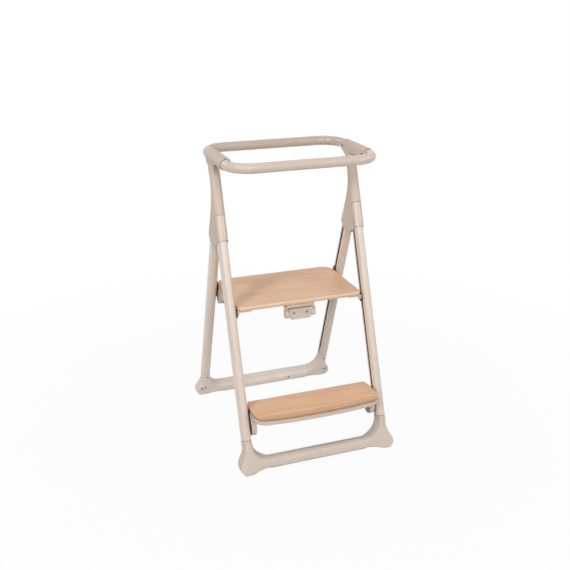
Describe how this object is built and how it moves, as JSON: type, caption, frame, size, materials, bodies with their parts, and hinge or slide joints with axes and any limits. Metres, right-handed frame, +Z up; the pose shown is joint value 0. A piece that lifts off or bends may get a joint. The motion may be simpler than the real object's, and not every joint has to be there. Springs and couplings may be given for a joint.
{
  "type": "high chair frame",
  "caption": "Folding A-frame of a child's high chair in its standing form: a rail ring over moulded hubs, slotted legs, a wooden platform with a latch and a wooden step.",
  "frame": {"origin": "on the floor under the middle of the chair's box", "axes": "+X to the right side, +Y to the rear, +Z up"},
  "size_m": [0.5116, 0.597, 0.9324],
  "materials": {
    "rail_paint": "satin powder coat, warm cream",
    "leg_paint": "satin powder coat, warm cream",
    "hub_gloss": "smooth moulding, soft gloss, warm cream",
    "base_plastic": "fine matt moulding, warm cream",
    "board_wood": "beech, clear matt lacquer",
    "slide_plastic": "dark brown sliding plastic",
    "pin_steel": "turned steel",
    "pad_rubber": "matt grey-brown rubber"
  },
  "bodies": {
    "front_frame": {"rail_front_tube": "rail_paint", "rail_rear_tube": "rail_paint", "front_base": "base_plastic", "hub_shell_left": "hub_gloss", "hub_shell_right": "hub_gloss", "hub_cover_left": "hub_gloss", "hub_cover_right": "hub_gloss", "hub_front_cover_left": "hub_gloss", "hub_front_cover_right": "hub_gloss", "fold_pin_left": "pin_steel", "fold_pin_right": "pin_steel", "front_leg_left": "leg_paint", "front_leg_right": "leg_paint", "front_foot_pad_left": "pad_rubber", "front_foot_pad_right": "pad_rubber", "platform_pivot_block_left": "slide_plastic", "platform_pivot_block_right": "slide_plastic", "platform_pin_left": "pin_steel", "platform_pin_right": "pin_steel"},
    "rear_frame": {"rear_base": "base_plastic", "rear_leg_left": "leg_paint", "rear_leg_right": "leg_paint", "rear_leg_head_left": "slide_plastic", "rear_leg_head_right": "slide_plastic", "rear_foot_pad_left": "pad_rubber", "rear_foot_pad_right": "pad_rubber"},
    "platform": {"platform_board": "board_wood", "latch_housing": "base_plastic", "latch_pin": "pin_steel", "latch_spring": "pin_steel", "platform_bracket_left": "base_plastic", "platform_bracket_right": "base_plastic"},
    "rear_slides": {"rear_shoe_left": "slide_plastic", "rear_shoe_right": "slide_plastic", "rear_pin_left": "pin_steel", "rear_pin_right": "pin_steel"},
    "step": {"step_board": "board_wood", "step_tray": "base_plastic", "step_shoe_left": "slide_plastic", "step_shoe_right": "slide_plastic"},
    "paddle": {"latch_paddle": "base_plastic"}
  },
  "joints": [
    {"name": "fold", "type": "hinge", "parent": "front_frame", "child": "rear_frame", "pos_m": [0, 0.01871, 0.663], "axis": [-1, 0, 0], "range_deg": [0, 39.5]},
    {"name": "platform_tilt", "type": "hinge", "parent": "front_frame", "child": "platform", "pos_m": [0, -0.10494, 0.459], "axis": [-1, 0, 0], "range_deg": [0, 92.58]},
    {"name": "rear_slide", "type": "slide", "parent": "rear_frame", "child": "rear_slides", "axis": [0, 0.3303, -0.9439], "range_m": [0, 0.2223]},
    {"name": "step_slide", "type": "slide", "parent": "front_frame", "child": "step", "axis": [0, 0.3461, 0.9382], "range_m": [0, 0.04]},
    {"name": "paddle_squeeze", "type": "hinge", "parent": "platform", "child": "paddle", "pos_m": [0, -0.1086, 0.4462], "axis": [1, 0, 0], "range_deg": [0, 25], "stiffness_Nm_per_rad": 0.05, "springref_deg": -22.92}
  ],
  "couplings": [
    {"joint": "platform_tilt", "follows": "fold", "ratio": 2.3412},
    {"joint": "rear_slide", "follows": "fold", "m_per_rad": 0.3221}
  ]
}
